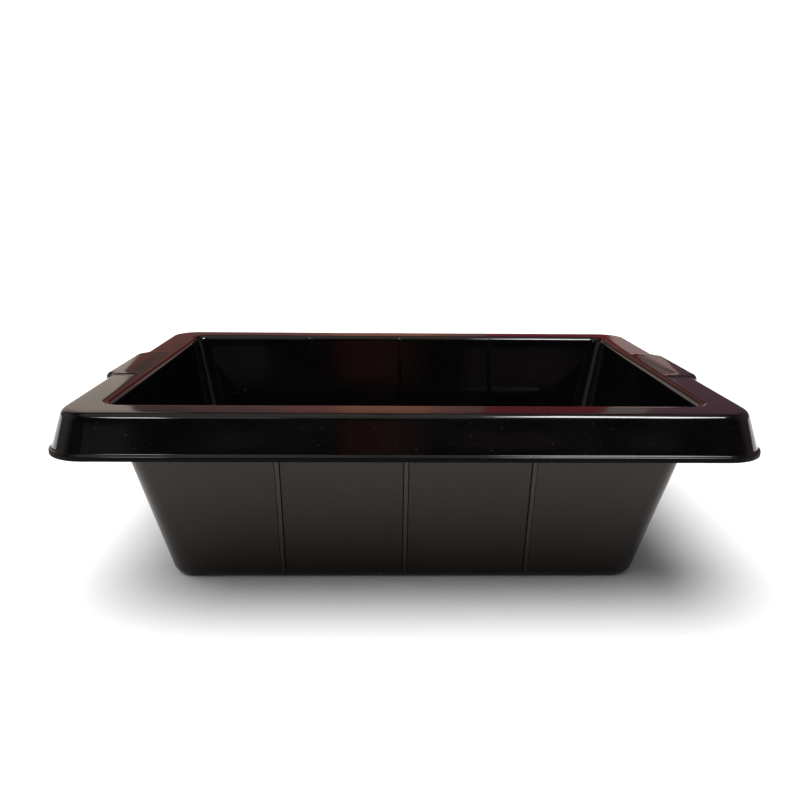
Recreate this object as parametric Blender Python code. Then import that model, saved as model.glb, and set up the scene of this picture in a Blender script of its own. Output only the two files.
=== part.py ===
"""Mortar mixing tub: one sheet of black plastic, vacuum formed into a trough.

Units are metres, +Z up, +X along the tub's long side.  The origin is the centre of
the underside, on the surface that the tub stands on.

The tub is a single formed sheet, so it is a single closed solid.  Its section is one
closed outline, which runs over the sheet's upper side, from the trough's floor up the
wall, across the rim and down the skirt to the lip, and back along the under side.
Each point of that outline becomes a ring round the tub, a rectangle with rounded
corners, and neighbouring rings are joined with quads.  The ribs of the long walls and
the grips in the short rims are local offsets of those rings.
"""
import math
from collections import namedtuple

import bmesh
import bpy
from mathutils import Vector

# Overall size
LENGTH = 0.650            # lip to lip along X
WIDTH = 0.469             # lip to lip along Y
RIM_HEIGHT = 0.1930       # top of the rim's flat above the ground
SHEET = 0.0028            # thickness of the formed sheet

# Trough
WALL_SLOPE = math.tan(math.radians(12.1))    # walls' lean from the vertical
FOOT_INSET = 0.0866       # lip to the line where a wall's outer face meets the ground
FOOT_RADIUS = 0.0105      # round edge between wall and floor, outside
FOOT_CORNER = 0.0255      # upright corner radius at the floor, outside
FLOOR_MARGIN = 0.022      # foot line to the flat of the floor
OPENING_RADIUS = 0.0080   # round edge between wall and rim, upper side
OPENING_CORNER = 0.019    # upright corner radius at the rim, outside

# Rim, skirt and lip
BROW_RADIUS = 0.0084      # round edge between rim and skirt, upper side
BROW_CORNER = 0.0325      # plan radius of the rim's outer corners
SKIRT_SLOPE = math.tan(math.radians(15.6))   # skirt's lean from the vertical
SKIRT_DROP = 0.0343       # rim's flat down to the foot of the skirt
LIP_OUT = 0.0030          # how far the lip stands out from the skirt
LIP_HEIGHT = 0.0058
LIP_ROUND = 0.0014        # round edges of the lip
LIP_CORNER = 0.041        # plan radius of the lip's corners

# Ribs on the long walls: raised outside, each with a narrow groove behind it
RIB_COUNT = 3
RIB_SPACING = 0.123
RIB_HEIGHT = 0.0018
RIB_FOOT = 0.0029         # half width where it leaves the wall
RIB_CREST = 0.0020        # half width of its flat top
GROOVE_DEPTH = 0.0011
GROOVE_MOUTH = 0.0017     # half width
GROOVE_BED = 0.0007       # half width

# Grips: the middle of each short rim stands a little proud, upwards and outwards
RAISED_HALF = 0.0645      # half length of the raised stretch
RAISE = 0.0012
RAISE_RAMP = 0.0030       # length of the step at its ends
RAISE_MARGIN = 0.0020     # step's width along the opening's edge
BUMP = 0.0070             # how far the rim's outer edge is pushed out
BUMP_HALF = 0.0500        # half length of the full push
BUMP_RAMP = 0.0100        # length over which the push dies away
BUMP_STEPS = 3

# Mesh fineness
ARC_STEPS = 3             # segments in a round edge
CORNER_STEPS = 6          # segments in a round corner, in plan
SHARP_ANGLE = math.radians(35)               # edges sharper than this stay crisp

COLLECTION = "mortar_mixing_tub"

# A corner of the section's outline: its inset from the lip and its height, the radius
# that rounds it, its radius in plan, how much of the rib and of the grip it takes, and
# whether it belongs to the sheet's upper side.
Corner = namedtuple("Corner", "inset height radius plan rib grip upper")

# One ring round the tub, with the same meanings.
Ring = namedtuple("Ring", "inset height plan rib grip upper")


def clear_scene():
    """Remove whatever the file already holds."""
    for obj in list(bpy.data.objects):
        bpy.data.objects.remove(obj, do_unlink=True)


def black_plastic():
    """Glossy black plastic of the formed sheet."""
    material = bpy.data.materials.new("black_plastic")
    material.use_nodes = True
    shader = material.node_tree.nodes["Principled BSDF"]
    shader.inputs["Base Color"].default_value = (0.012, 0.011, 0.011, 1.0)
    shader.inputs["Roughness"].default_value = 0.2
    shader.inputs["Metallic"].default_value = 0.0
    material.diffuse_color = (0.03, 0.03, 0.03, 1.0)
    return material


def wall_inset(height):
    """Inset of the wall's outer face at a height."""
    return FOOT_INSET - height * WALL_SLOPE


def skirt_inset(drop):
    """Inset of the skirt's outer face, at a drop below the rim's flat."""
    return LIP_OUT + (SKIRT_DROP - drop) * SKIRT_SLOPE


def upper_corners():
    """Corners of the sheet's upper side, from the floor out to the lip's edge."""
    wall_through = SHEET * math.hypot(1.0, WALL_SLOPE)
    floor_line = wall_inset(SHEET) + wall_through
    opening_line = wall_inset(RIM_HEIGHT) + wall_through
    flat_edge = opening_line - OPENING_RADIUS
    brow_line = skirt_inset(0.0)
    lip_top = RIM_HEIGHT - SKIRT_DROP
    lip_foot = lip_top - LIP_HEIGHT
    inner_foot = FOOT_CORNER - SHEET
    inner_opening = OPENING_CORNER - SHEET
    flat_plan = inner_opening + OPENING_RADIUS + RAISE_MARGIN
    return [
        Corner(floor_line + FLOOR_MARGIN, SHEET, 0, 0, 0, 0, True),
        Corner(floor_line, SHEET, FOOT_RADIUS - SHEET, inner_foot, 1, 0, True),
        Corner(opening_line, RIM_HEIGHT, OPENING_RADIUS, inner_opening, 1, 0, True),
        Corner(flat_edge - RAISE_MARGIN, RIM_HEIGHT, 0, flat_plan, 0, 1, True),
        Corner(brow_line, RIM_HEIGHT, BROW_RADIUS, BROW_CORNER, 0, 1, True),
        Corner(LIP_OUT, lip_top, 0, LIP_CORNER - LIP_OUT, 0, 0, True),
        Corner(0, lip_top - LIP_ROUND, LIP_ROUND, LIP_CORNER, 0, 0, True),
        Corner(0, lip_foot, 0, LIP_CORNER, 0, 0, True),
    ]


def under_corners():
    """Corners of the sheet's under side, from the lip's edge in to the ground."""
    skirt_through = SHEET * math.hypot(1.0, SKIRT_SLOPE)
    under_flat = RIM_HEIGHT - SHEET
    opening_line = wall_inset(under_flat)
    under_opening = OPENING_RADIUS + SHEET
    flat_edge = opening_line - under_opening
    brow_line = skirt_inset(SHEET) + skirt_through
    lip_top = RIM_HEIGHT - SKIRT_DROP
    lip_foot = lip_top - LIP_HEIGHT
    lip_plan = LIP_CORNER - SHEET
    flat_plan = OPENING_CORNER + under_opening + RAISE_MARGIN
    return [
        Corner(SHEET, lip_foot, 0, lip_plan, 0, 0, False),
        Corner(SHEET, lip_top - SHEET, 0, lip_plan, 0, 0, False),
        Corner(LIP_OUT + skirt_through, lip_top - LIP_ROUND, 0, lip_plan - LIP_OUT, 0, 0, False),
        Corner(brow_line, under_flat, BROW_RADIUS - SHEET, BROW_CORNER - SHEET, 0, 1, False),
        Corner(flat_edge - RAISE_MARGIN, under_flat, 0, flat_plan, 0, 1, False),
        Corner(opening_line, under_flat, under_opening, OPENING_CORNER, 1, 0, False),
        Corner(FOOT_INSET, 0, FOOT_RADIUS, FOOT_CORNER, 1, 0, False),
        Corner(FOOT_INSET + FLOOR_MARGIN, 0, 0, 0, 0, 0, False),
    ]


def arc_through(before, corner, after):
    """Rings along the arc that rounds one corner of the outline, tangent to both sides."""
    centre = Vector((corner.inset, corner.height))
    back = (Vector((before.inset, before.height)) - centre).normalized()
    ahead = (Vector((after.inset, after.height)) - centre).normalized()
    half_angle = back.angle(ahead) / 2
    reach = corner.radius / math.tan(half_angle)
    hub = centre + (back + ahead).normalized() * (corner.radius / math.sin(half_angle))
    start = centre + back * reach - hub
    sweep = math.pi - 2 * half_angle
    if back.cross(ahead) > 0:
        sweep = -sweep
    rings = []
    for step in range(ARC_STEPS + 1):
        share = step / ARC_STEPS
        turn = sweep * share
        point = hub + Vector((start.x * math.cos(turn) - start.y * math.sin(turn),
                              start.x * math.sin(turn) + start.y * math.cos(turn)))
        # The rib fades out where the outline leaves the wall for the floor or the rim.
        leaves_wall = after.rib < corner.rib
        joins_wall = before.rib < corner.rib
        rib = corner.rib
        if leaves_wall:
            rib *= 1 - share
        if joins_wall:
            rib *= share
        plan = corner.plan + corner.inset - point.x
        rings.append(Ring(point.x, point.y, plan, rib, corner.grip, corner.upper))
    return rings


def section_rings():
    """All rings in order, from the floor's upper side round to its under side."""
    corners = upper_corners() + under_corners()
    rings = []
    for before, corner, after in zip(corners, corners[1:], corners[2:]):
        if corner.radius:
            rings += arc_through(before, corner, after)
        else:
            rings.append(Ring(corner.inset, corner.height, corner.plan,
                              corner.rib, corner.grip, corner.upper))
    return rings


def rib_centres():
    """X of each rib of a long wall, from left to right."""
    middle = (RIB_COUNT - 1) / 2
    return [(index - middle) * RIB_SPACING for index in range(RIB_COUNT)]


def long_side_points(ring):
    """(x, outward push) of the points along a long side, from left to right."""
    foot, crest, push = RIB_FOOT, RIB_CREST, RIB_HEIGHT
    if ring.upper:
        foot, crest, push = GROOVE_MOUTH, GROOVE_BED, GROOVE_DEPTH
    points = []
    for centre in rib_centres():
        points.append((centre - foot, 0.0))
        points.append((centre - crest, push * ring.rib))
        points.append((centre + crest, push * ring.rib))
        points.append((centre + foot, 0.0))
    return points


def ease(share):
    """Smooth step from 0 to 1, flat at both ends."""
    share = min(max(share, 0.0), 1.0)
    return share * share * (3 - 2 * share)


def short_side_points(ring):
    """(y, outward push, rise) of the points along a short side, in rising y."""
    stations = {RAISED_HALF, RAISED_HALF - RAISE_RAMP}
    for step in range(BUMP_STEPS + 1):
        stations.add(BUMP_HALF + BUMP_RAMP * step / BUMP_STEPS)
    half = sorted(stations)
    points = []
    for y in [-value for value in reversed(half)] + half:
        push = BUMP * ease((BUMP_HALF + BUMP_RAMP - abs(y)) / BUMP_RAMP)
        rise = RAISE * ease((RAISED_HALF - abs(y)) / RAISE_RAMP)
        points.append((y, push * ring.grip, rise * ring.grip))
    return points


def corner_points(ring, half_x, half_y, quarter):
    """Points of one round corner, counter-clockwise; quarter 0 is at +X +Y."""
    sign_x = 1 if quarter in (0, 3) else -1
    sign_y = 1 if quarter in (0, 1) else -1
    centre_x = sign_x * (half_x - ring.plan)
    centre_y = sign_y * (half_y - ring.plan)
    points = []
    for step in range(CORNER_STEPS + 1):
        turn = (quarter + step / CORNER_STEPS) * math.pi / 2
        points.append(Vector((centre_x + ring.plan * math.cos(turn),
                              centre_y + ring.plan * math.sin(turn),
                              ring.height)))
    return points


def ring_points(ring):
    """All points of one ring, counter-clockwise seen from above."""
    half_x = LENGTH / 2 - ring.inset
    half_y = WIDTH / 2 - ring.inset
    short_side = short_side_points(ring)
    long_side = long_side_points(ring)
    points = []
    for y, push, rise in short_side:
        points.append(Vector((half_x + push, y, ring.height + rise)))
    points += corner_points(ring, half_x, half_y, 0)
    for x, push in reversed(long_side):
        points.append(Vector((x, half_y + push, ring.height)))
    points += corner_points(ring, half_x, half_y, 1)
    for y, push, rise in reversed(short_side):
        points.append(Vector((-half_x - push, y, ring.height + rise)))
    points += corner_points(ring, half_x, half_y, 2)
    for x, push in long_side:
        points.append(Vector((x, -half_y - push, ring.height)))
    points += corner_points(ring, half_x, half_y, 3)
    return points


def tub_shell(collection, material):
    """The whole formed sheet as one closed solid."""
    mesh = bpy.data.meshes.new("tub_shell")
    work = bmesh.new()
    loops = []
    for ring in section_rings():
        loops.append([work.verts.new(point) for point in ring_points(ring)])
    for inner, outer in zip(loops, loops[1:]):
        for index, vertex in enumerate(inner):
            following = (index + 1) % len(inner)
            work.faces.new((vertex, outer[index], outer[following], inner[following]))
    work.faces.new(loops[0])
    work.faces.new(list(reversed(loops[-1])))
    bmesh.ops.recalc_face_normals(work, faces=work.faces)
    work.to_mesh(mesh)
    work.free()
    mesh.materials.append(material)
    mesh.shade_smooth()
    mesh.set_sharp_from_angle(angle=SHARP_ANGLE)
    shell = bpy.data.objects.new("tub_shell", mesh)
    collection.objects.link(shell)
    return shell


def main():
    clear_scene()
    collection = bpy.data.collections.new(COLLECTION)
    bpy.context.scene.collection.children.link(collection)
    tub_shell(collection, black_plastic())


main()
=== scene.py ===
"""Looks of the mortar mixing tub: the formed sheet's fine surface, its plastic, and a plain studio.

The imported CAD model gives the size.  The tub is rebuilt here as a finer closed mesh of the
same sheet: round edges, soft-shouldered ribs and grips, and the slight waviness that a
vacuum-formed sheet keeps.  Units are metres, +Z up, the tub stands on z = 0.
"""
import math
from collections import namedtuple

import bpy
import numpy as np
from mathutils import Euler, Matrix, Vector, noise


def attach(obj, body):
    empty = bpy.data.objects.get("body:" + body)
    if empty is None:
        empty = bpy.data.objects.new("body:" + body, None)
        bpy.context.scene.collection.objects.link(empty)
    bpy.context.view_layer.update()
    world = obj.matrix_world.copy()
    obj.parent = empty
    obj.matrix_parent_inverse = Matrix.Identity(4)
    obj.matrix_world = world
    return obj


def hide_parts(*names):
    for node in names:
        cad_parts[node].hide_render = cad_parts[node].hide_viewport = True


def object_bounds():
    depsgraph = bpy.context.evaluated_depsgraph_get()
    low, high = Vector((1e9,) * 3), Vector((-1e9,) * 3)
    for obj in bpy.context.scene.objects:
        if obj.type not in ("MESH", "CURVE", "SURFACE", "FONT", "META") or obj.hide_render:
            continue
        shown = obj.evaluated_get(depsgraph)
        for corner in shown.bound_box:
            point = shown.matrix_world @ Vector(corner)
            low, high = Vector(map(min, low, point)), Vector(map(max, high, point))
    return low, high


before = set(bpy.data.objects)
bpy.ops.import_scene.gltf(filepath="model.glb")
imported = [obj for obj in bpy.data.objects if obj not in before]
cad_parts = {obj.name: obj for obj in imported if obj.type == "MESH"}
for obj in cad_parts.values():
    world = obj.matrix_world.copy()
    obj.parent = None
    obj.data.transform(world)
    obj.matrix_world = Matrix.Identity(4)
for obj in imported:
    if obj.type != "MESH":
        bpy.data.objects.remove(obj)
cad_low, cad_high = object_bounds()

# ---------------------------------------------------------------- sizes

RAISE = 0.0012                               # grips above the rim's flat
LENGTH = cad_high.x - cad_low.x
WIDTH = cad_high.y - cad_low.y
RIM_HEIGHT = cad_high.z - RAISE
SHEET = 0.0028

WALL_SLOPE = math.tan(math.radians(12.1))
FOOT_INSET = 0.0866
FOOT_RADIUS = 0.0105
FOOT_CORNER = 0.0255
FLOOR_MARGIN = 0.022                         # foot line to the flat of the floor
OPENING_RADIUS = 0.0080
OPENING_CORNER = 0.019

BROW_RADIUS = 0.0084
BROW_CORNER = 0.0325
SKIRT_SLOPE = math.tan(math.radians(15.6))
SKIRT_DROP = 0.0343
LIP_OUT = 0.0030
LIP_HEIGHT = 0.0058
LIP_ROUND = 0.0014
LIP_FACE = 0.0042                            # height of the lip's dulled face
LIP_CORNER = 0.041
COVE_RADIUS = 0.0022                         # hollow between skirt and lip

RIB_COUNT = 3
RIB_SPACING = 0.123
RIB_HEIGHT = 0.0018
RIB_FOOT = 0.0029
RIB_CREST = 0.0020
GROOVE_DEPTH = 0.0011
GROOVE_MOUTH = 0.0017
GROOVE_BED = 0.0005

RAISED_HALF = 0.0645
RAISE_RAMP = 0.0030
RAISE_MARGIN = 0.0020
BUMP = 0.0070
BUMP_HALF = 0.0500
BUMP_RAMP = 0.0100

# ---------------------------------------------------------------- the formed sheet

Corner = namedtuple("Corner", "inset height radius plan rib grip upper")
Ring = namedtuple("Ring", "inset height plan rib grip upper")

ARC_STEPS = 9
CORNER_STEPS = 22
FLAT_STEP = 0.010                            # longest gap between rings and between stations
RIB_STATIONS, BUMP_STATIONS, RAMP_STATIONS = 13, 9, 7
SAME = 1e-6                                  # lengths closer than this count as equal
SHARP_EDGE = math.radians(50)
GLOSS_SIDE, SATIN_SIDE, DULLED_LIP_FACE = 0, 1, 2

# The straight runs that every ring has, clear of the round corners
LONG_STRAIGHT = LENGTH / 2 - FOOT_INSET - FOOT_CORNER - FOOT_RADIUS
SHORT_STRAIGHT = WIDTH / 2 - FOOT_INSET - FOOT_CORNER - FOOT_RADIUS


def wall_inset(height):
    """Inset of the wall's outer face at a height."""
    return FOOT_INSET - height * WALL_SLOPE


def skirt_inset(drop):
    """Inset of the skirt's outer face, at a drop below the rim's flat."""
    return LIP_OUT + (SKIRT_DROP - drop) * SKIRT_SLOPE


def upper_corners():
    """Corners of the sheet's upper side, from the floor out to the lip's edge."""
    wall_through = SHEET * math.hypot(1.0, WALL_SLOPE)
    floor_line = wall_inset(SHEET) + wall_through
    opening_line = wall_inset(RIM_HEIGHT) + wall_through
    flat_edge = opening_line - OPENING_RADIUS
    brow_line = skirt_inset(0.0)
    lip_top = RIM_HEIGHT - SKIRT_DROP
    lip_foot = lip_top - LIP_HEIGHT
    inner_foot = FOOT_CORNER - SHEET
    inner_opening = OPENING_CORNER - SHEET
    flat_plan = inner_opening + OPENING_RADIUS + RAISE_MARGIN
    return [
        Corner(floor_line + FLOOR_MARGIN, SHEET, 0, 0, 0, 0, True),
        Corner(floor_line, SHEET, FOOT_RADIUS - SHEET, inner_foot, 1, 0, True),
        Corner(opening_line, RIM_HEIGHT, OPENING_RADIUS, inner_opening, 1, 0, True),
        Corner(flat_edge - RAISE_MARGIN, RIM_HEIGHT, 0, flat_plan, 0, 1, True),
        Corner(brow_line, RIM_HEIGHT, BROW_RADIUS, BROW_CORNER, 0, 1, True),
        Corner(LIP_OUT, lip_top, COVE_RADIUS, LIP_CORNER - LIP_OUT, 0, 0, True),
        Corner(0, lip_top - LIP_ROUND, LIP_ROUND, LIP_CORNER, 0, 0, True),
        Corner(0, lip_foot, LIP_ROUND / 3, LIP_CORNER, 0, 0, True),
    ]


def under_corners():
    """Corners of the sheet's under side, from the lip's edge in to the ground."""
    skirt_through = SHEET * math.hypot(1.0, SKIRT_SLOPE)
    under_flat = RIM_HEIGHT - SHEET
    opening_line = wall_inset(under_flat)
    under_opening = OPENING_RADIUS + SHEET
    flat_edge = opening_line - under_opening
    brow_line = skirt_inset(SHEET) + skirt_through
    lip_top = RIM_HEIGHT - SKIRT_DROP
    lip_foot = lip_top - LIP_HEIGHT
    lip_plan = LIP_CORNER - SHEET
    flat_plan = OPENING_CORNER + under_opening + RAISE_MARGIN
    return [
        Corner(SHEET, lip_foot, LIP_ROUND / 3, lip_plan, 0, 0, False),
        Corner(SHEET, lip_top - SHEET, 0, lip_plan, 0, 0, False),
        Corner(LIP_OUT + skirt_through, lip_top - LIP_ROUND, 0, lip_plan - LIP_OUT, 0, 0, False),
        Corner(brow_line, under_flat, BROW_RADIUS - SHEET, BROW_CORNER - SHEET, 0, 1, False),
        Corner(flat_edge - RAISE_MARGIN, under_flat, 0, flat_plan, 0, 1, False),
        Corner(opening_line, under_flat, under_opening, OPENING_CORNER, 1, 0, False),
        Corner(FOOT_INSET, 0, FOOT_RADIUS, FOOT_CORNER, 1, 0, False),
        Corner(FOOT_INSET + FLOOR_MARGIN, 0, 0, 0, 0, 0, False),
    ]


def arc_through(before, corner, after):
    """Rings along the arc that rounds one corner of the outline, tangent to both sides."""
    centre = Vector((corner.inset, corner.height))
    back = (Vector((before.inset, before.height)) - centre).normalized()
    ahead = (Vector((after.inset, after.height)) - centre).normalized()
    half_angle = back.angle(ahead) / 2
    reach = corner.radius / math.tan(half_angle)
    hub = centre + (back + ahead).normalized() * (corner.radius / math.sin(half_angle))
    start = centre + back * reach - hub
    sweep = math.pi - 2 * half_angle
    if back.cross(ahead) > 0:
        sweep = -sweep
    rings = []
    for step in range(ARC_STEPS + 1):
        share = step / ARC_STEPS
        turn = sweep * share
        point = hub + Vector((start.x * math.cos(turn) - start.y * math.sin(turn),
                              start.x * math.sin(turn) + start.y * math.cos(turn)))
        rib = corner.rib
        if after.rib < corner.rib:
            rib *= 1 - ease(share)
        if before.rib < corner.rib:
            rib *= ease(share)
        plan = corner.plan + corner.inset - point.x
        rings.append(Ring(point.x, point.y, plan, rib, corner.grip, corner.upper))
    return rings


def between(first, last):
    """Rings that fill a long straight stretch of the outline evenly."""
    run = math.hypot(last.inset - first.inset, last.height - first.height)
    count = int(run / FLAT_STEP)
    fill = []
    for step in range(1, count + 1):
        share = step / (count + 1)
        mixed = [a + (b - a) * share for a, b in zip(first[:5], last[:5])]
        fill.append(Ring(*mixed, first.upper))
    return fill


def section_rings():
    """All rings in order, from the floor's upper side round to its under side."""
    corners = upper_corners() + under_corners()
    sparse = []
    for before, corner, after in zip(corners, corners[1:], corners[2:]):
        if corner.radius:
            sparse += arc_through(before, corner, after)
        else:
            sparse.append(Ring(corner.inset, corner.height, corner.plan,
                               corner.rib, corner.grip, corner.upper))
    rings = [sparse[0]]
    for ring in sparse[1:]:
        rings += between(rings[-1], ring)
        rings.append(ring)
    return rings


def ease(share):
    """Smooth step from 0 to 1, flat at both ends."""
    share = min(max(share, 0.0), 1.0)
    return share * share * (3 - 2 * share)


def rib_centres():
    """X of each rib of a long wall, from left to right."""
    middle = (RIB_COUNT - 1) / 2
    return [(index - middle) * RIB_SPACING for index in range(RIB_COUNT)]


def long_stations():
    """X of the points along a long side: close together over the ribs."""
    near = np.linspace(-RIB_FOOT, RIB_FOOT, RIB_STATIONS)
    stations = [centre + offset for centre in rib_centres() for offset in near]
    reach = RIB_SPACING * (RIB_COUNT + 1) / 2 - RIB_FOOT
    for x in np.arange(-reach, reach, FLAT_STEP):
        if min(abs(x - centre) for centre in rib_centres()) > RIB_FOOT * 1.3:
            stations.append(float(x))
    return sorted(s for s in stations if abs(s) < LONG_STRAIGHT)


def short_stations():
    """Y of the points along a short side: close together over the ends of the grip."""
    half = set(np.linspace(BUMP_HALF, BUMP_HALF + BUMP_RAMP, BUMP_STATIONS))
    half |= set(np.linspace(RAISED_HALF - RAISE_RAMP, RAISED_HALF, RAMP_STATIONS))
    half |= set(np.arange(FLAT_STEP / 2, BUMP_HALF - FLAT_STEP / 3, FLAT_STEP))
    half |= set(np.arange(RAISED_HALF + FLAT_STEP, SHORT_STRAIGHT, FLAT_STEP))
    half = sorted(half)
    return [-value for value in reversed(half)] + half


def rib_push(x, ring):
    """How far a rib pushes a long wall's surface out at x."""
    foot, crest, push = RIB_FOOT, RIB_CREST, RIB_HEIGHT
    if ring.upper:
        foot, crest, push = GROOVE_MOUTH, GROOVE_BED, GROOVE_DEPTH
    away = min(abs(x - centre) for centre in rib_centres())
    return push * ring.rib * ease((foot - away) / (foot - crest))


def grip_push(y, ring):
    """How far the grip pushes the short rim out, and up, at y."""
    out = BUMP * ease((BUMP_HALF + BUMP_RAMP - abs(y)) / BUMP_RAMP)
    rise = RAISE * ease((RAISED_HALF - abs(y)) / RAISE_RAMP)
    return out * ring.grip, rise * ring.grip


def corner_points(ring, half_x, half_y, quarter):
    """Points of one round corner, counter-clockwise; quarter 0 is at +X +Y."""
    sign_x = 1 if quarter in (0, 3) else -1
    sign_y = 1 if quarter in (0, 1) else -1
    centre_x = sign_x * (half_x - ring.plan)
    centre_y = sign_y * (half_y - ring.plan)
    points = []
    for step in range(CORNER_STEPS + 1):
        turn = (quarter + step / CORNER_STEPS) * math.pi / 2
        points.append((centre_x + ring.plan * math.cos(turn),
                       centre_y + ring.plan * math.sin(turn), ring.height))
    return points


def ring_points(ring, xs, ys):
    """All points of one ring, counter-clockwise seen from above."""
    half_x = LENGTH / 2 - ring.inset
    half_y = WIDTH / 2 - ring.inset
    points = []
    for y in ys:
        out, rise = grip_push(y, ring)
        points.append((half_x + out, y, ring.height + rise))
    points += corner_points(ring, half_x, half_y, 0)
    for x in reversed(xs):
        points.append((x, half_y + rib_push(x, ring), ring.height))
    points += corner_points(ring, half_x, half_y, 1)
    for y in reversed(ys):
        out, rise = grip_push(y, ring)
        points.append((-half_x - out, y, ring.height + rise))
    points += corner_points(ring, half_x, half_y, 2)
    for x in xs:
        points.append((x, -half_y - rib_push(x, ring), ring.height))
    points += corner_points(ring, half_x, half_y, 3)
    return points


WAVE = 0.00060                               # largest waviness of the sheet
WAVE_LENGTH = 0.11
# Where each axis reads the noise, so that the three don't move together
WAVE_OFFSETS = (Vector((0, 0, 0)), Vector((7.3, 1.9, 4.1)), Vector((2.7, 8.4, 5.6)))


def sheet_wave(point):
    """The slow waviness of a formed sheet: a small shift, the same on both its sides."""
    where = Vector(point) / WAVE_LENGTH
    height_share = point[2] / RIM_HEIGHT
    shift = Vector(noise.noise(where + offset) + 1 for offset in WAVE_OFFSETS) * WAVE / 2
    # The floor stays flat where it rests, and the rim and lip stay inside the model's box.
    shift *= ease(height_share * 3)
    inward = Vector((-2 * point[0] / LENGTH, -2 * point[1] / WIDTH, -0.5))
    return Vector(component * direction for component, direction in zip(shift, inward))


def rib_painted_light(point, ring):
    """Painted light on a rib's outside: 1 on its crest, for a painted highlight, -1 in the crease
    at its foot, for a painted shade line.
    """
    on_wall = abs(point[1]) > WIDTH / 2 - ring.inset - SAME and abs(point[0]) < LONG_STRAIGHT
    if ring.upper or not on_wall:
        return 0.0
    away = min(abs(point[0] - centre) for centre in rib_centres())
    if away < RIB_CREST * 0.8:
        return float(ring.rib)
    return -float(ring.rib) if RIB_CREST * 1.1 < away < RIB_FOOT * 0.95 else 0.0


def on_lip_face(ring):
    """True on the lip's outer face and its bottom edge, which are dulled as painted shade."""
    foot = RIM_HEIGHT - SKIRT_DROP - LIP_HEIGHT
    return ring.inset < SHEET + SAME and foot - SAME < ring.height < foot + LIP_FACE


def tub_mesh(materials):
    """The formed sheet as one closed mesh, with materials for its upper side, its under side
    and the lip's outer face, which is dulled so that it reads dark as painted shade."""
    xs, ys = long_stations(), short_stations()
    rings = section_rings()
    plain = [ring_points(ring, xs, ys) for ring in rings]
    # Painted light on the ribs: one mark per point, for the painted highlight on each crest and the
    # painted shade in the crease at its foot.
    marks = [rib_painted_light(point, ring) for ring, loop in zip(rings, plain) for point in loop]
    loops = [[Vector(point) + sheet_wave(point) for point in loop] for loop in plain]
    count = len(loops[0])
    vertices = [(point.x, point.y, max(point.z, 0.0)) for loop in loops for point in loop]
    faces, sides = [], []
    for index in range(len(rings) - 1):
        inner, outer = index * count, (index + 1) * count
        side = GLOSS_SIDE if rings[index + 1].upper else SATIN_SIDE
        # Painted shade: the lip's outer face gets the dulled material so that it reads dark instead
        # of reflecting the pale floor.
        if on_lip_face(rings[index]) and on_lip_face(rings[index + 1]):
            side = DULLED_LIP_FACE
        for spot in range(count):
            following = (spot + 1) % count
            faces.append((inner + spot, outer + spot, outer + following, inner + following))
            sides.append(side)
    last = (len(rings) - 1) * count
    faces.append(tuple(reversed(range(count))))
    sides.append(GLOSS_SIDE)
    faces.append(tuple(range(last, last + count)))
    sides.append(SATIN_SIDE)
    mesh = bpy.data.meshes.new("tub_sheet")
    mesh.from_pydata(vertices, [], faces)
    mesh.attributes.new("rib_painted_light", "FLOAT", "POINT").data.foreach_set("value", marks)
    for material in materials:
        mesh.materials.append(material)
    mesh.polygons.foreach_set("material_index", sides)
    mesh.validate()
    mesh.flip_normals()
    mesh.shade_smooth()
    mesh.set_sharp_from_angle(angle=SHARP_EDGE)
    return mesh


# ---------------------------------------------------------------- materials

GLOSS_CLEAN, GLOSS_FILM = (0.0017, 0.0016, 0.0016), (0.0034, 0.0032, 0.0031)
SATIN_CLEAN, SATIN_FILM = (0.0011, 0.0009, 0.0008), (0.0020, 0.0017, 0.0015)
DULL_LIP_CLEAN, DULL_LIP_FILM = (0.0016, 0.0014, 0.0014), (0.0032, 0.0029, 0.0028)
GLOSS_SPECK = (0.05, 0.047, 0.045)
SATIN_SPECK = (0.02, 0.018, 0.017)
DULL_LIP_SPECK = (0.03, 0.028, 0.027)
FILM_SCALE, SPECK_SCALE = 17, 620            # noise features per metre, as for every scale below
SATIN_SHINE = 0.40                           # specular level of the satin side
CREST_PAINTED_HIGHLIGHT = 0.13                           # painted highlight: specular level added on the ribs' crests
# Painted shade: the lip face's low specular level keeps it dark.
DULL_LIP_SHINE = 0.06
SATIN_TINT = (1, 0.86, 0.78, 1)
FLOOR_DARK, FLOOR_LIGHT = (0.86, 0.86, 0.86), (0.9, 0.9, 0.9)


def new_material(name):
    """A material, its node tree, its Principled shader and object space coordinates."""
    material = bpy.data.materials.new(name)
    material.use_nodes = True
    tree = material.node_tree
    place = tree.nodes.new("ShaderNodeTexCoord").outputs["Object"]
    return material, tree, tree.nodes["Principled BSDF"], place


def fill(tree, socket, value):
    """Set a socket to a number or a colour, or link another node's output to it."""
    if isinstance(value, bpy.types.NodeSocket):
        tree.links.new(value, socket)
    else:
        socket.default_value = (*value, 1) if isinstance(value, tuple) else value


def maths(tree, operation, first, second=None):
    """The result of a maths node on numbers or sockets."""
    node = tree.nodes.new("ShaderNodeMath")
    node.operation = operation
    fill(tree, node.inputs[0], first)
    if second is not None:
        fill(tree, node.inputs[1], second)
    return node.outputs[0]


def mixed(tree, factor, first, second):
    """The first colour turning into the second as the factor goes from 0 to 1."""
    mix = tree.nodes.new("ShaderNodeMix")
    mix.data_type = "RGBA"
    for name, value in (("Factor", factor), ("A", first), ("B", second)):
        fill(tree, mix.inputs[name], value)
    return mix.outputs["Result"]


def to_range(tree, value, low, high, new_low, new_high, curve="LINEAR"):
    """A value mapped from one range to another, and held inside it."""
    node = tree.nodes.new("ShaderNodeMapRange")
    node.interpolation_type = curve
    for name, number in (("Value", value), ("From Min", low), ("From Max", high),
                         ("To Min", new_low), ("To Max", new_high)):
        fill(tree, node.inputs[name], number)
    return node.outputs["Result"]


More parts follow.
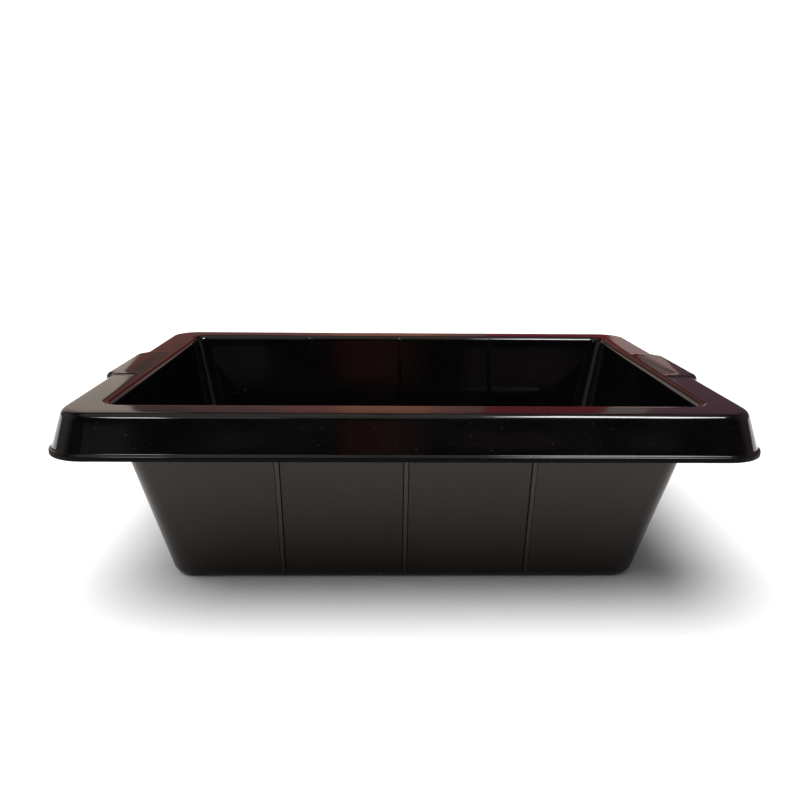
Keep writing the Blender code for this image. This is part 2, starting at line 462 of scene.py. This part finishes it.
def noise_texture(tree, place, scale, detail, stretch=(1, 1, 1)):
    """Noise in object space, in features per metre."""
    mapping = tree.nodes.new("ShaderNodeMapping")
    mapping.inputs["Scale"].default_value = stretch
    texture = tree.nodes.new("ShaderNodeTexNoise")
    tree.links.new(place, mapping.inputs["Vector"])
    for name, value in (("Vector", mapping.outputs["Vector"]), ("Scale", scale),
                        ("Detail", detail)):
        fill(tree, texture.inputs[name], value)
    return texture.outputs["Fac"]


def roughen(tree, shader, height, strength, depth):
    """Bump a shader's surface by a height."""
    bump = tree.nodes.new("ShaderNodeBump")
    for name, value in (("Height", height), ("Strength", strength), ("Distance", depth)):
        fill(tree, bump.inputs[name], value)
    tree.links.new(bump.outputs["Normal"], shader.inputs["Normal"])


def worn_black(tree, shader, place, clean, film, speck):
    """Colour a shader black under a thin uneven film of dust, with a few pale specks."""
    cloud = to_range(tree, noise_texture(tree, place, FILM_SCALE, 6), 0.42, 0.72, 0, 1)
    dots = to_range(tree, noise_texture(tree, place, SPECK_SCALE, 0), 0.80, 0.86, 0, 0.6)
    dusty = mixed(tree, cloud, clean, film)
    tree.links.new(mixed(tree, dots, dusty, speck), shader.inputs["Base Color"])


def gloss_plastic():
    """The sheet's upper side: deep black, glossy, faintly wavy and rubbed."""
    material, tree, shader, place = new_material("black_plastic_gloss")
    worn_black(tree, shader, place, GLOSS_CLEAN, GLOSS_FILM, GLOSS_SPECK)
    rub = noise_texture(tree, place, 14, 5)
    tree.links.new(to_range(tree, rub, 0.35, 0.7, 0.045, 0.09), shader.inputs["Roughness"])
    roughen(tree, shader, noise_texture(tree, place, 160, 2), 0.06, 0.0004)
    return material


def satin_plastic():
    """The sheet's under side: the mould's fine grain leaves it satin."""
    material, tree, shader, place = new_material("black_plastic_satin")
    worn_black(tree, shader, place, SATIN_CLEAN, SATIN_FILM, SATIN_SPECK)
    # Painted shade and highlight: the specular level falls to nothing in the crease beside a rib, a
    # painted shade line, and rises on its crest, a painted highlight.
    painted_rib_light = tree.nodes.new("ShaderNodeAttribute")
    painted_rib_light.attribute_name = "rib_painted_light"
    crease_painted_shade = to_range(tree, painted_rib_light.outputs["Fac"], -1, 0, 0, SATIN_SHINE)
    crest = to_range(tree, painted_rib_light.outputs["Fac"], 0, 1, 0, CREST_PAINTED_HIGHLIGHT)
    tree.links.new(maths(tree, "ADD", crease_painted_shade, crest), shader.inputs["Specular IOR Level"])
    shader.inputs["Specular Tint"].default_value = SATIN_TINT
    rub = noise_texture(tree, place, 9, 4)
    tree.links.new(to_range(tree, rub, 0.3, 0.7, 0.26, 0.34), shader.inputs["Roughness"])
    roughen(tree, shader, noise_texture(tree, place, 1400, 2), 0.2, 0.0001)
    return material


def dulled_lip_plastic():
    """The lip's outer face: dull and nearly without specular, a painted shade that keeps it dark,
    with fine streaks in its roughness.
    """
    material, tree, shader, place = new_material("black_plastic_dulled_lip")
    worn_black(tree, shader, place, DULL_LIP_CLEAN, DULL_LIP_FILM, DULL_LIP_SPECK)
    shader.inputs["Specular IOR Level"].default_value = DULL_LIP_SHINE
    marks = noise_texture(tree, place, 300, 3, stretch=(1, 1, 4))
    tree.links.new(to_range(tree, marks, 0.3, 0.7, 0.42, 0.62), shader.inputs["Roughness"])
    roughen(tree, shader, marks, 0.15, 0.0001)
    return material


def floor_paint():
    """Plain pale floor with a hardly visible mottle."""
    material, tree, shader, place = new_material("pale_floor")
    mottle = noise_texture(tree, place, 3, 3)
    tree.links.new(mixed(tree, mottle, FLOOR_DARK, FLOOR_LIGHT), shader.inputs["Base Color"])
    shader.inputs["Roughness"].default_value = 0.9
    shader.inputs["Specular IOR Level"].default_value = 0.1
    return material


# ---------------------------------------------------------------- pieces

def make_tub():
    """The piece that stands for the CAD shell."""
    mesh = tub_mesh([gloss_plastic(), satin_plastic(), dulled_lip_plastic()])
    tub = bpy.data.objects.new("tub_sheet", mesh)
    bpy.context.scene.collection.objects.link(tub)
    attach(tub, "root")
    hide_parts("tub_shell")


# ---------------------------------------------------------------- studio

FLOOR_SIZE = 60.0
FLOOR_GAP = 0.0004                           # between the floor and the tub's foot
CAMERA_AT = Vector((-0.0213, -0.8891, 0.3748))
CAMERA_DOWN = math.radians(14.19)
CAMERA_YAW = math.radians(-1.18)
CAMERA_ROLL = math.radians(0.50)
CAMERA_LENS = 35.58
SENSOR_WIDTH = 36

SUN_POWER = 4.5
SUN_SPREAD = math.radians(70)
SUN_TILT = math.radians(-12)                 # light comes a little from the left
Panel = namedtuple("Panel", "name at size power turn")
PANELS = [
    Panel("panel_right", (0.66, -0.40, 1.7), (0.66, 0.46), 20, math.radians(-25)),
    Panel("panel_left", (-0.86, -1.30, 1.7), (0.24, 0.42), 4.2, 0),
    Panel("panel_left_far", (-0.58, -1.20, 1.7), (0.50, 0.40), 0.55, 0),
]

BACKDROP = (1.05, 1.05, 1.05)                # what the camera sees behind the floor
DOME_HORIZON, DOME_TOP = 0.05, 0.35          # soft light on dull surfaces
DOME_RISE = math.radians(60)                 # where the dome reaches its top value
SURROUND = (0.014, 0.013, 0.013)             # what the gloss reflects between the cards

# Coloured cards that the gloss reflects, each laid over those before it.  Spans, rise and the
# softness of the edges are in degrees; azimuth runs towards +X, from +Y for the cards behind
# the tub and from -Y for those in front of it.
Card = namedtuple("Card", "span rise soft colour")
CARDS_BEHIND = [
    Card((-60, 60), (-4, 42), 5, (0.20, 0.115, 0.11)),
    Card((-19, -7), (-4, 12.8), 3, (0.24, 0.10, 0.085)),
    Card((-18.4, -14.5), (12.8, 42), 2, (0.14, 0.10, 0.098)),
    Card((-8, 6.5), (5, 42), 5, (0.31, 0.13, 0.11)),
    Card((-3.6, 3.6), (5, 42), 2.5, (0.46, 0.19, 0.13)),
    Card((-48, -18.2), (2, 42), 0.8, (0.76, 0.64, 0.57)),
    Card((19.2, 60), (-4, 42), 1.0, (0.18, 0.095, 0.12)),
    Card((16.2, 19.2), (13.6, 42), 0.5, (0.30, 0.245, 0.235)),
    Card((16.2, 20.6), (-4, 12.4), 0.4, (0.58, 0.39, 0.37)),
    Card((7.5, 16.2), (-4, 42), 0.6, (0.25, 0.040, 0.054)),
]
CARDS_IN_FRONT = [
    Card((-180, 180), (58, 100), 16, (0.52, 0.49, 0.46)),
    Card((-120, -72), (0, 40), 28, (0.34, 0.30, 0.29)),
    Card((76, 120), (0, 40), 28, (0.22, 0.165, 0.175)),
    Card((-27, -19.5), (11.5, 17), 3, (0.12, 0.11, 0.11)),
    Card((-11.8, -8.3), (11.2, 14.4), 1.2, (0.075, 0.07, 0.07)),
    Card((-3.6, 1.6), (11.5, 24), 0.8, (0.145, 0.045, 0.038)),
    Card((1.6, 3.0), (11.5, 24), 1.2, (0.09, 0.045, 0.045)),
    Card((6.0, 12.5), (10.8, 14.8), 1.2, (0.075, 0.055, 0.06)),
    Card((17.5, 22.0), (11.5, 14.0), 1.0, (0.075, 0.07, 0.07)),
]


def make_camera():
    """The viewing angle: in front of the tub, a little above its rim."""
    camera = bpy.data.cameras.new("camera")
    camera.lens = CAMERA_LENS
    camera.sensor_width = SENSOR_WIDTH
    holder = bpy.data.objects.new("camera", camera)
    turn = Euler((math.pi / 2 - CAMERA_DOWN, 0, CAMERA_YAW)).to_matrix()
    turn = turn @ Matrix.Rotation(CAMERA_ROLL, 3, "Z")
    holder.matrix_world = Matrix.LocRotScale(CAMERA_AT, turn, None)
    bpy.context.scene.collection.objects.link(holder)
    bpy.context.scene.camera = holder


def make_floor():
    """A plain pale floor under the tub."""
    half = FLOOR_SIZE / 2
    mesh = bpy.data.meshes.new("floor")
    mesh.from_pydata([(-half, -half, 0), (half, -half, 0), (half, half, 0), (-half, half, 0)],
                     [], [(0, 1, 2, 3)])
    mesh.materials.append(floor_paint())
    floor = bpy.data.objects.new("floor", mesh)
    floor.location.z = -FLOOR_GAP
    bpy.context.scene.collection.objects.link(floor)


def make_sun():
    """A very soft light from above that lights the floor and shades it under the rim."""
    sun = bpy.data.lights.new("overhead", "SUN")
    sun.energy = SUN_POWER
    sun.angle = SUN_SPREAD
    holder = bpy.data.objects.new("overhead", sun)
    holder.rotation_euler = (0, SUN_TILT, 0)
    holder.visible_glossy = False
    bpy.context.scene.collection.objects.link(holder)


def make_panel(panel):
    """A soft panel that faces down and shows only as a highlight on the gloss."""
    light = bpy.data.lights.new(panel.name, "AREA")
    light.shape = "RECTANGLE"
    light.size, light.size_y = panel.size
    light.energy = panel.power
    holder = bpy.data.objects.new(panel.name, light)
    facing = Vector((0, 0, -1)).to_track_quat("-Z", "Y").to_matrix()
    facing = facing @ Matrix.Rotation(panel.turn, 3, "Z")
    holder.matrix_world = Matrix.LocRotScale(Vector(panel.at), facing, None)
    holder.visible_camera = False
    holder.visible_diffuse = False
    bpy.context.scene.collection.objects.link(holder)


def direction_angles(tree):
    """Angles of a direction in the surroundings, in radians: azimuth behind the tub, azimuth
    in front of it, and elevation."""
    coordinates = tree.nodes.new("ShaderNodeTexCoord")
    split = tree.nodes.new("ShaderNodeSeparateXYZ")
    tree.links.new(coordinates.outputs["Generated"], split.inputs["Vector"])
    x, y, z = (split.outputs[axis] for axis in "XYZ")
    return (maths(tree, "ARCTAN2", x, y),
            maths(tree, "ARCTAN2", x, maths(tree, "MULTIPLY", y, -1)),
            maths(tree, "ARCSINE", z))


def lay_card(tree, azimuth, elevation, card, below):
    """One soft card in the surroundings, laid over the colour below it."""
    cover = None
    for angle, (start, stop) in ((azimuth, card.span), (elevation, card.rise)):
        for edge, outside, inside in ((start, 0, 1), (stop, 1, 0)):
            step = to_range(tree, angle, math.radians(edge - card.soft / 2),
                            math.radians(edge + card.soft / 2), outside, inside, "SMOOTHSTEP")
            cover = maths(tree, "MULTIPLY", cover, step) if cover is not None else step
    return mixed(tree, cover, below, card.colour)


def make_world():
    """White behind the tub, soft light from above, and a dim room for the gloss."""
    world = bpy.data.worlds.new("studio")
    bpy.context.scene.world = world
    world.use_nodes = True
    tree = world.node_tree
    behind, in_front, elevation = direction_angles(tree)
    room = SURROUND
    for azimuth, cards in ((behind, CARDS_BEHIND), (in_front, CARDS_IN_FRONT)):
        for card in cards:
            room = lay_card(tree, azimuth, elevation, card, room)
    path = tree.nodes.new("ShaderNodeLightPath")
    dome = to_range(tree, elevation, 0, DOME_RISE, DOME_HORIZON, DOME_TOP)
    light = mixed(tree, path.outputs["Is Glossy Ray"], dome, room)
    seen = mixed(tree, path.outputs["Is Camera Ray"], light, BACKDROP)
    tree.links.new(seen, tree.nodes["Background"].inputs["Color"])
    bpy.context.scene.view_settings.view_transform = "Standard"


make_camera()
make_tub()
make_floor()
make_sun()
for panel in PANELS:
    make_panel(panel)
make_world()
